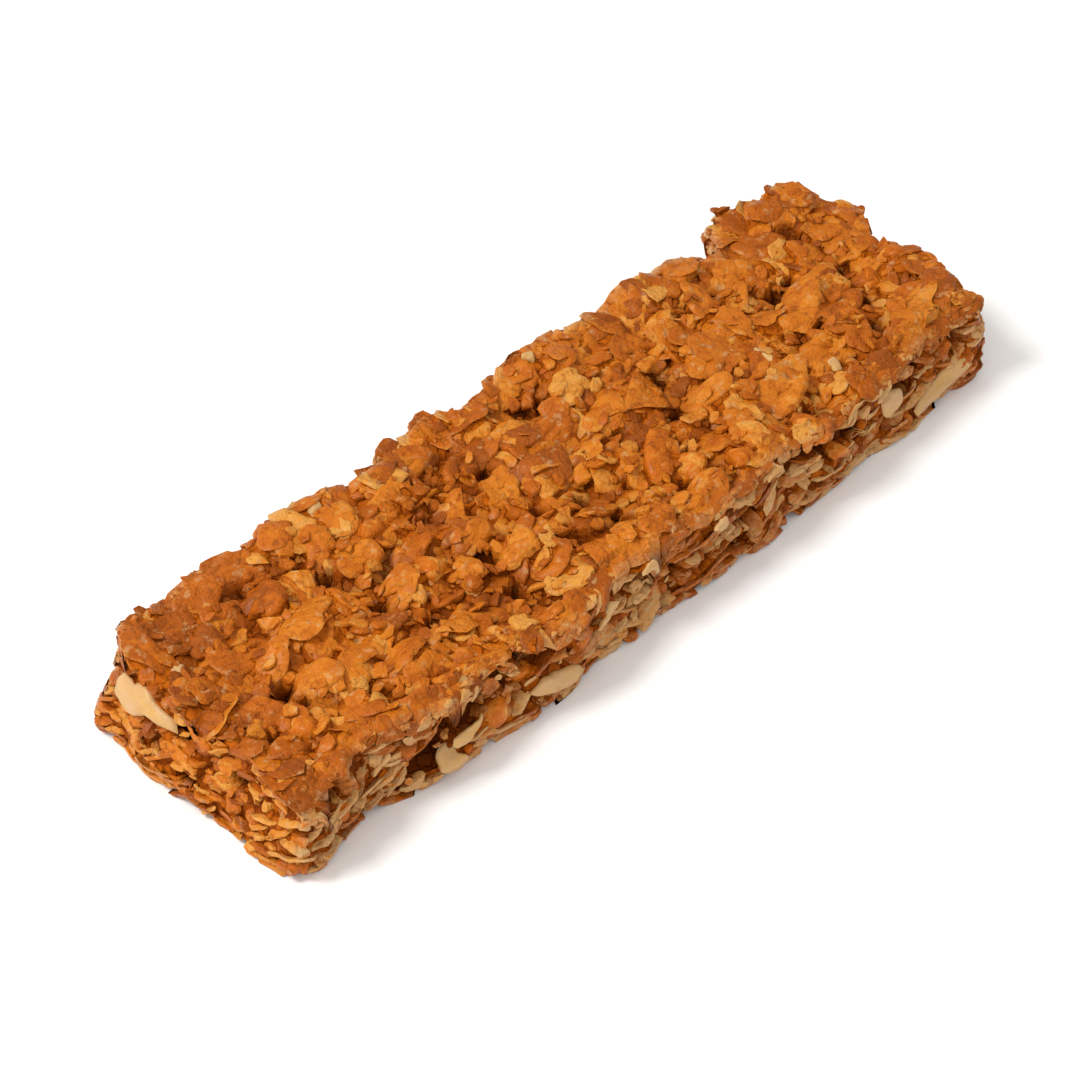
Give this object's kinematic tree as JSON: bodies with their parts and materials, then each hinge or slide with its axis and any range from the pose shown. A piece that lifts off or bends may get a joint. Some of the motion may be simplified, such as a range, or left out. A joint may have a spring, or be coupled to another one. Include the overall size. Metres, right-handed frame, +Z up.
{
  "type": "granola bar",
  "caption": "Crunchy oblong granola bar: rolled oats, crisps and nut slivers bound with baked syrup in a flat slab with crumbled edges.",
  "frame": {"origin": "centre of the bar's bounding box, on the flat underside", "axes": "+X along the length of the bar, +Y across its width towards the side with the deeper notches, +Z up from the underside"},
  "size_m": [0.1052, 0.0334, 0.0101],
  "materials": {
    "baked_oats": "toasted rolled oats under a thin baked honey glaze",
    "baked_syrup": "dark caramelised syrup and crumb between the oats, glossy",
    "grain_crisps": "puffed crisps glazed with syrup, glossy",
    "nut_slivers": "pale dry slivers of blanched almond"
  },
  "bodies": {
    "root": {"granola_bar": "baked_oats"}
  },
  "joints": []
}
